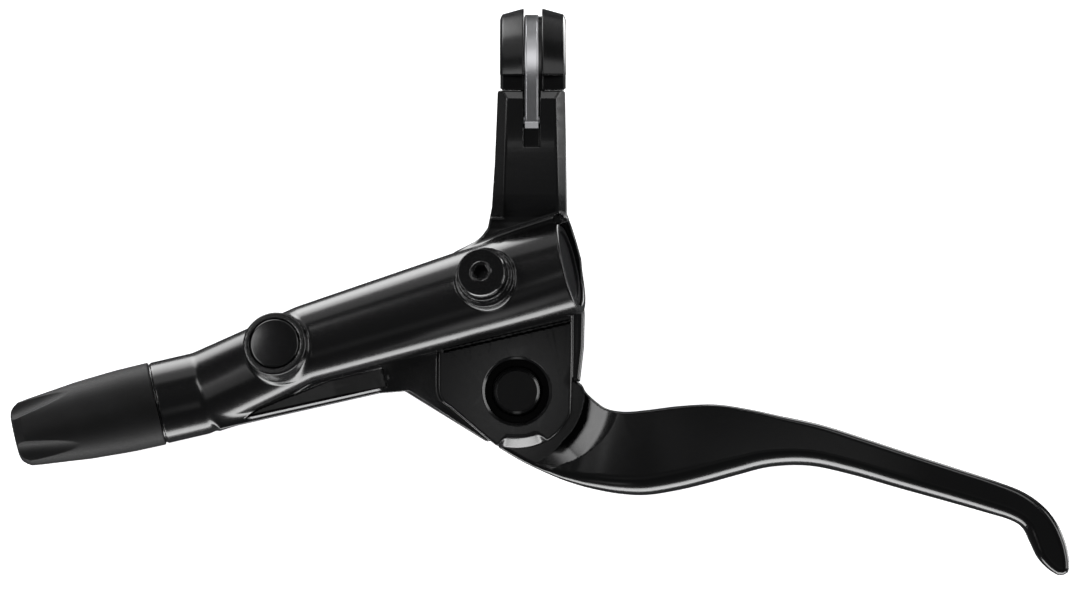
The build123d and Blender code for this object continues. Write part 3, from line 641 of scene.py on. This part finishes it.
def noise(nt, scale, detail=3.0, rough=0.5):
    tc = next((n for n in nt.nodes if n.type == "TEX_COORD"), None) or nt.nodes.new("ShaderNodeTexCoord")
    t = nt.nodes.new("ShaderNodeTexNoise")
    t.inputs["Scale"].default_value = scale
    t.inputs["Detail"].default_value = detail
    t.inputs["Roughness"].default_value = rough
    nt.links.new(tc.outputs["Object"], t.inputs["Vector"])
    return t.outputs["Fac"]


def ramp(nt, src, stops):
    r = nt.nodes.new("ShaderNodeValToRGB")
    el = r.color_ramp.elements
    while len(el) < len(stops):
        el.new(0.5)
    for e, (p, c) in zip(el, stops):
        e.position = p
        e.color = (*c, 1) if len(c) == 3 else c
    nt.links.new(src, r.inputs["Fac"])
    return r.outputs["Color"]


def bump(nt, bsdf, src, strength, dist):
    b = nt.nodes.new("ShaderNodeBump")
    b.inputs["Strength"].default_value = strength
    b.inputs["Distance"].default_value = dist
    nt.links.new(src, b.inputs["Height"])
    nt.links.new(b.outputs["Normal"], bsdf.inputs["Normal"])
    return b


def paint(name, base=0.0017, rough=0.21, spec=0.5):
    m, nt, b = new_mat(name)
    n1 = noise(nt, 900.0, 3.0)
    n2 = noise(nt, 60.0, 2.0)
    nt.links.new(ramp(nt, n2, [(0.3, (base * 0.8, base * 0.8, base * 0.85)), (0.7, (base * 1.2, base * 1.2, base * 1.3))]), b.inputs["Base Color"])
    rr = ramp(nt, n1, [(0.25, (rough * 0.92,) * 3), (0.75, (rough * 1.1,) * 3)])
    nt.links.new(rr, b.inputs["Roughness"])
    b.inputs["IOR"].default_value = 1.5
    b.inputs["Specular IOR Level"].default_value = spec
    bump(nt, b, noise(nt, 420.0, 2.0), 0.02, 0.0002)
    return m


def painted_recess_shade(m, cx, cy, radius, top):
    """painted shade on the floor of a round recess of a painted part: a low specular level inside the ring darkens it
    """
    nt = m.node_tree
    b = nt.nodes["Principled BSDF"]
    tc = nt.nodes.new("ShaderNodeTexCoord")
    sep = nt.nodes.new("ShaderNodeSeparateXYZ")
    nt.links.new(tc.outputs["Object"], sep.inputs[0])

    def op(kind, a, c):
        n = nt.nodes.new("ShaderNodeMath")
        n.operation = kind
        for i, v in enumerate((a, c)):
            if isinstance(v, float):
                n.inputs[i].default_value = v
            else:
                nt.links.new(v, n.inputs[i])
        return n.outputs[0]

    dx, dy = op("SUBTRACT", sep.outputs[0], cx), op("SUBTRACT", sep.outputs[1], cy)
    rr = op("ADD", op("MULTIPLY", dx, dx), op("MULTIPLY", dy, dy))
    inside = op("MULTIPLY", op("LESS_THAN", rr, radius * radius), op("LESS_THAN", sep.outputs[2], top))
    # painted shade: the specular level drops from 0.5 to 0.03 inside the recess
    nt.links.new(op("SUBTRACT", 0.5, op("MULTIPLY", inside, 0.47)), b.inputs["Specular IOR Level"])


def rubber(name, base=0.03, rough=0.55, spec=0.3):
    m, nt, b = new_mat(name)
    n1, n2 = noise(nt, 2600.0, 4.0), noise(nt, 140.0, 3.0)
    nt.links.new(ramp(nt, n2, [(0.3, (base * 0.85,) * 3), (0.7, (base * 1.15, base * 1.15, base * 1.2))]), b.inputs["Base Color"])
    nt.links.new(ramp(nt, n1, [(0.3, (rough * 0.9,) * 3), (0.7, (rough * 1.1,) * 3)]), b.inputs["Roughness"])
    b.inputs["Specular IOR Level"].default_value = spec
    bump(nt, b, n1, 0.25, 0.00012)
    return m


def steel(name, base=(0.55, 0.55, 0.56), rough=0.3, stretch=(1, 1, 1)):
    m, nt, b = new_mat(name)
    tc = nt.nodes.new("ShaderNodeTexCoord")
    mp = nt.nodes.new("ShaderNodeMapping")
    mp.inputs["Scale"].default_value = stretch
    nt.links.new(tc.outputs["Object"], mp.inputs["Vector"])
    t = nt.nodes.new("ShaderNodeTexNoise")
    t.inputs["Scale"].default_value = 1800.0
    t.inputs["Detail"].default_value = 4.0
    nt.links.new(mp.outputs["Vector"], t.inputs["Vector"])
    c = tuple(base)
    nt.links.new(ramp(nt, t.outputs["Fac"], [(0.3, tuple(k * 0.95 for k in c)), (0.7, tuple(min(1, k * 1.03) for k in c))]), b.inputs["Base Color"])
    nt.links.new(ramp(nt, t.outputs["Fac"], [(0.3, (rough * 0.92,) * 3), (0.7, (rough * 1.1,) * 3)]), b.inputs["Roughness"])
    b.inputs["Metallic"].default_value = 1.0
    bump(nt, b, t.outputs["Fac"], 0.03, 0.00005)
    return m


MAT = {
    "gloss_black_body": paint("gloss_black_body"),
    "gloss_black_lever": paint("gloss_black_lever", 0.0005, 0.17),
    "gloss_black_clamp": paint("gloss_black_clamp", 0.0012, 0.22, 0.29),
    "black_pin": paint("black_pin", 0.0013, 0.3, 0.2),
    "black_screw": paint("black_screw", 0.002, 0.13),
    "black_plug": paint("black_plug", 0.002, 0.13),
    "cap_plastic": paint("cap_plastic", 0.006, 0.5, 0.02),
    "black_bolt": paint("black_bolt", 0.006, 0.3),
    "seal_rubber": rubber("seal_rubber", 0.012, 0.5),
    "cover_rubber": rubber("cover_rubber", 0.009, 0.52, 0.14),
    "spring_steel": steel("spring_steel", (0.42, 0.42, 0.43), 0.28),
    "zinc_steel": steel("zinc_steel", (0.2, 0.2, 0.21), 0.35),
    "strap_steel": steel("strap_steel", (0.36, 0.36, 0.37), 0.30, (8, 0.6, 0.6)),
    "olive_brass": steel("olive_brass", (0.75, 0.58, 0.3), 0.3),
    "piston_alloy": steel("piston_alloy", (0.6, 0.6, 0.62), 0.35),
    "bush_plastic": rubber("bush_plastic", 0.5, 0.5),
}
# painted shade in the body paint: the floor of the pivot recess is made darker
painted_recess_shade(MAT["gloss_black_body"], PX * 0.001, PY * 0.001, 0.0061, 0.0014)
slot_of = {p["node"]: p["material_slot"] for p in frame["record"]["subparts"]}
for n, o in NODES.items():
    o.data.materials.clear()
    o.data.materials.append(MAT[slot_of[n]])


def place(ob, node, body):
    ob.data.materials.clear()
    ob.data.materials.append(MAT[slot_of[node]])
    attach(ob, body)
    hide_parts(node)
    return ob


shell = place(field_mesh("body_shell", body_field, (-77.5, -70.5, -22.2), (11.5, 0.7, 20.5), 0.3, 190000), "lever_body", "body")
blade = place(field_mesh("lever_blade", lever_field, (-28.0, -93.5, -13.8), (103.5, -37.0, -0.2), 0.3, 180000), "brake_lever", "lever")
cover = place(field_mesh("hose_sleeve", cover_field, (-101.5, -75.5, -15.8), (-68.0, -49.5, 1.8), 0.22, 120000), "hose_cover", "body")

screw = place(field_mesh("bleed_screw_head", screw_field, (-15.6, -40.8, 10.2), (-3.8, -28.9, 21.6), 0.1, 60000, 0.05), "bleed_screw", "body")
plug = place(field_mesh("port_plug_dome", plug_field, (-54.6, -54.2, 3.6), (-42.7, -42.4, 13.2), 0.11, 50000, 0.05), "port_plug", "body")
pin = place(field_mesh("pivot_pin_turned", pin_field, (-8.2, -62.3, -17.0), (2.1, -52.0, 2.6), 0.12, 50000, 0.05), "pivot_pin", "body")
endcap = place(field_mesh("reservoir_end_cap", endcap_field, (1.6, -42.4, -2.4), (10.0, -24.8, 15.5), 0.12, 60000, 0.05), "reservoir_cap", "body")
clamp = place(field_mesh("clamp_cap_shell", clamp_field, (-7.1, -1.0, -21.5), (7.1, 16.2, 16.2), 0.15, 90000, 0.06), "clamp_cap", "clamp")


# return spring: a copy of the coil from the part, with mesh data of its own
src = NODES["return_spring"]
coil = bpy.data.objects.new("return_spring_coil", src.data.copy())
scene.collection.objects.link(coil)
coil.matrix_world = src.matrix_world.copy()
place(coil, "return_spring", "body")
bpy.context.view_layer.update()
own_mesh(coil)


def strip(name, rows, slot="gloss_black_body", body="body"):
    """flat-shaded ribbon through rows of points (mm)"""
    me = bpy.data.meshes.new(name)
    k = len(rows[0])
    v = [tuple(float(c) * MM for c in pt) for r in rows for pt in r]
    q = [(i * k + j, i * k + j + 1, (i + 1) * k + j + 1, (i + 1) * k + j) for i in range(len(rows) - 1) for j in range(k - 1)]
    me.from_pydata(v, [], q)
    me.update()
    ob = bpy.data.objects.new(name, me)
    scene.collection.objects.link(ob)
    me.materials.append(MAT[slot])
    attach(ob, body)
    return ob


def rim_point(s, u, up):
    n = -6.51 - 0.00905 * (s - 15.66) - u
    return L(s, n, -0.7 + 0.245 * (n + 2.6) + up)


rim = []
for s_ in np.linspace(15.66, 43.2, 60):
    w = min(1.0, (s_ - 15.66) / 1.5, (43.2 - s_) / 2.0)
    rim.append([rim_point(s_, -0.10, -0.9), rim_point(s_, -0.04, 0.08 + 0.37 * w), rim_point(s_, 0.55, 0.08 - 0.33 * w), rim_point(s_, 0.56, -0.6)])
strip("flange_rim", rim)
mouth = []
for a_ in np.linspace(0, 2 * math.pi, 145):
    c_, d_ = math.cos(a_), math.sin(a_)
    mouth.append([(PX + r_ * c_, PY + r_ * d_, z_) for r_, z_ in ((6.10, 1.2), (6.10, 1.72), (6.52, 2.03), (6.60, 2.0), (6.60, 1.7))])
strip("pin_recess_rim", mouth)
head = []
for a_ in np.linspace(0, 2 * math.pi, 109):
    c_, d_ = math.cos(a_), math.sin(a_)
    head.append([(PX + r_ * c_, PY + r_ * d_, z_) for r_, z_ in ((3.78, 1.74), (3.84, 1.80), (4.31, 1.46), (4.31, 1.2))])
strip("pin_head_rim", head)
for tag, edge, sg in (("left", -1.5, 1.0), ("right", 1.0, -1.0)):
    rows = []
    path = [(math.sin(math.radians(f_)), math.cos(math.radians(f_)), 0.0) for f_ in np.linspace(84, 0, 64)]
    path += [(0.0, 1.0, -y_) for y_ in np.linspace(0.4, 6.0, 12)]
    for sy, cz, dy in path:
        rows.append([(edge + sg * dx, r_ * sy + dy, r_ * cz) for dx, r_ in ((-0.01, 13.7), (-0.01, 14.05), (0.24, 14.23), (0.30, 14.19))])
    strip("strap_rim_" + tag, rows, "strap_steel", "clamp")
lip = []
for x_ in (-1.5, 1.0):
    lip.append([(x_, -6.0 - r_ * math.sin(math.radians(f_)), 12.55 + r_ * math.cos(math.radians(f_))) for f_, r_ in ((8, 1.6), (14, 1.78), (58, 1.78), (64, 1.6))])
strip("strap_end_lip", lip, "strap_steel", "clamp")

# ------------------------------------------------------------------ stage, light, camera
FLOOR_Z = -0.030
bm = bmesh.new()
rings = []
prof = [(0.0, 0.0), (0.5, 0.0), (2.0, 0.0), (4.2, 0.0), (4.6, 0.03), (4.9, 0.12), (5.1, 0.3), (5.2, 0.6)]
seg = 96
c0 = bm.verts.new((0, 0, FLOOR_Z))
for r, h in prof[1:]:
    rings.append([bm.verts.new((r * math.cos(2 * math.pi * i / seg), r * math.sin(2 * math.pi * i / seg), FLOOR_Z + h)) for i in range(seg)])
for i in range(seg):
    bm.faces.new((c0, rings[0][i], rings[0][(i + 1) % seg]))
    for a, b in zip(rings[:-1], rings[1:]):
        bm.faces.new((a[i], b[i], b[(i + 1) % seg], a[(i + 1) % seg]))
me = bpy.data.meshes.new("floor")
bm.to_mesh(me)
bm.free()
floor = bpy.data.objects.new("floor", me)
scene.collection.objects.link(floor)
for p in me.polygons:
    p.use_smooth = True
m, nt, b = new_mat("pale_floor")
nt.links.new(ramp(nt, noise(nt, 30.0), [(0.3, (0.88, 0.88, 0.88)), (0.7, (0.92, 0.92, 0.92))]), b.inputs["Base Color"])
b.inputs["Roughness"].default_value = 0.9
b.inputs["Emission Color"].default_value = (1, 1, 1, 1)
b.inputs["Emission Strength"].default_value = 0.9
me.materials.append(m)
floor.visible_glossy = False
floor.visible_shadow = False

world = bpy.data.worlds.new("studio")
world.use_nodes = True
bg = world.node_tree.nodes["Background"]
bg.inputs["Color"].default_value = (0.95, 0.97, 1.0, 1)
bg.inputs["Strength"].default_value = 0.10
scene.world = world

CEN = Vector((0.0, -0.045, 0.0))


def panel(name, az, el, dist, w, h, radiance, roll=0.0):
    """soft box in direction az (0 = +X, 90 = +Y) and elevation el, facing the object"""
    a, e = math.radians(az), math.radians(el)
    d = Vector((math.cos(a) * math.cos(e), math.sin(a) * math.cos(e), math.sin(e)))
    li = bpy.data.lights.new(name, "AREA")
    li.shape = "RECTANGLE"
    li.size, li.size_y = w, h
    li.energy = radiance * math.pi * w * h
    ob = bpy.data.objects.new(name, li)
    ob.location = CEN + d * dist
    ob.rotation_mode = "QUATERNION"
    ob.rotation_quaternion = (-d).to_track_quat("-Z", "Y")
    scene.collection.objects.link(ob)
    ob.visible_camera = False
    return ob


def soft_panel(name, az, el, dist, w, h, radiance):
    """three nested soft boxes, so the edge of the light fades out"""
    for i, k in enumerate((0.6, 1.0, 1.45)):
        panel("%s_%d" % (name, i), az, el, dist, w * k, h * k, radiance / 3)


def card(name, at, to, w, h, radiance, spread=180.0):
    """soft box at a place, facing a point; a grid narrows its beam"""
    li = bpy.data.lights.new(name, "AREA")
    li.shape = "RECTANGLE"
    li.size, li.size_y = w, h
    half = math.radians(spread) / 2
    gain = 1.0 if spread >= 180.0 else math.tan(half) / (math.tan(half) - half)
    li.spread = 2 * half
    li.energy = radiance * math.pi * w * h / gain
    ob = bpy.data.objects.new(name, li)
    ob.location = at
    ob.rotation_mode = "QUATERNION"
    ob.rotation_quaternion = (Vector(to) - Vector(at)).to_track_quat("-Z", "Y")
    scene.collection.objects.link(ob)
    ob.visible_camera = False
    return ob


card("rear_left", (-0.12, 0.10, -0.058), (-0.05, -0.04, 0.0), 0.16, 0.15, 9.5, 72.0)
card("rear_right", (0.085, 0.05, -0.06), (0.065, -0.068, -0.005), 0.10, 0.11, 6.0)
card("tip_right", (0.20, -0.085, -0.07), (0.10, -0.086, -0.005), 0.09, 0.09, 4.0)
panel("rear_fill", 90, -16, 0.9, 1.8, 0.80, 0.4)
panel("rear_mid", 103, 20, 0.9, 1.1, 0.46, 0.9)
card("clamp_rear", (0.004, 0.0923, 0.0954), (0.002, 0.006, 0.012), 0.05, 0.075, 3.2, 46.0)
panel("front_low", -90, -14, 0.9, 1.7, 0.34, 8.5)
panel("front_high", -77, 62, 0.9, 0.50, 0.30, 0.08)
card("pivot_front", (-0.003, -0.146, 0.033), (-0.003, -0.053, 0.002), 0.03, 0.02, 1.6, 30.0)
card("strap_front", (0.0, -0.102, 0.045), (0.0, -0.007, 0.0138), 0.03, 0.03, 1.8, 40.0)
card("pocket_front", (-0.024, -0.1515, 0.177), (-0.045, -0.060, 0.0), 0.05, 0.06, 0.7, 27.0)
soft_panel("side_left", 160, 48, 0.9, 0.36, 0.15, 17.0)
panel("left_mid", 195, 33, 0.9, 0.50, 0.24, 1.0)
panel("left_low", 180, 6, 0.9, 0.60, 0.30, 0.22)
panel("side_right", 50, 48, 0.9, 0.34, 0.34, 2.4)
panel("right_mid", 0, 7, 0.9, 0.60, 0.28, 1.2)
panel("right_edge", 5, 20, 0.9, 0.90, 0.20, 4.6)
panel("right_low", 0, -24, 0.9, 0.60, 0.64, 1.0)
panel("overhead", 0, 90, 1.0, 0.70, 0.70, 0.035)
card("over_ear", (-0.0045, -0.060, 0.12), (-0.004, -0.059, 0.0), 0.017, 0.024, 0.9)
card("over_blade_a", (0.0285, -0.068, 0.12), (0.0270, -0.0665, 0.0), 0.006, 0.030, 0.20)
card("over_blade_b", (0.0430, -0.070, 0.12), (0.0410, -0.0690, 0.0), 0.005, 0.030, 0.18)
card("over_blade_c", (0.0640, -0.076, 0.12), (0.0600, -0.0740, 0.0), 0.026, 0.022, 0.24)

cam_d = bpy.data.cameras.new("camera")
cam_d.lens = 400
cam_d.sensor_width = 36
cam = bpy.data.objects.new("camera", cam_d)
scene.collection.objects.link(cam)
cam.location = (0.00133, -0.03886, 2.276)
cam.rotation_euler = (0, 0, 0)
cam_d.clip_end = 50
scene.camera = cam
scene.view_settings.view_transform = "Standard"
scene.view_settings.look = "None"
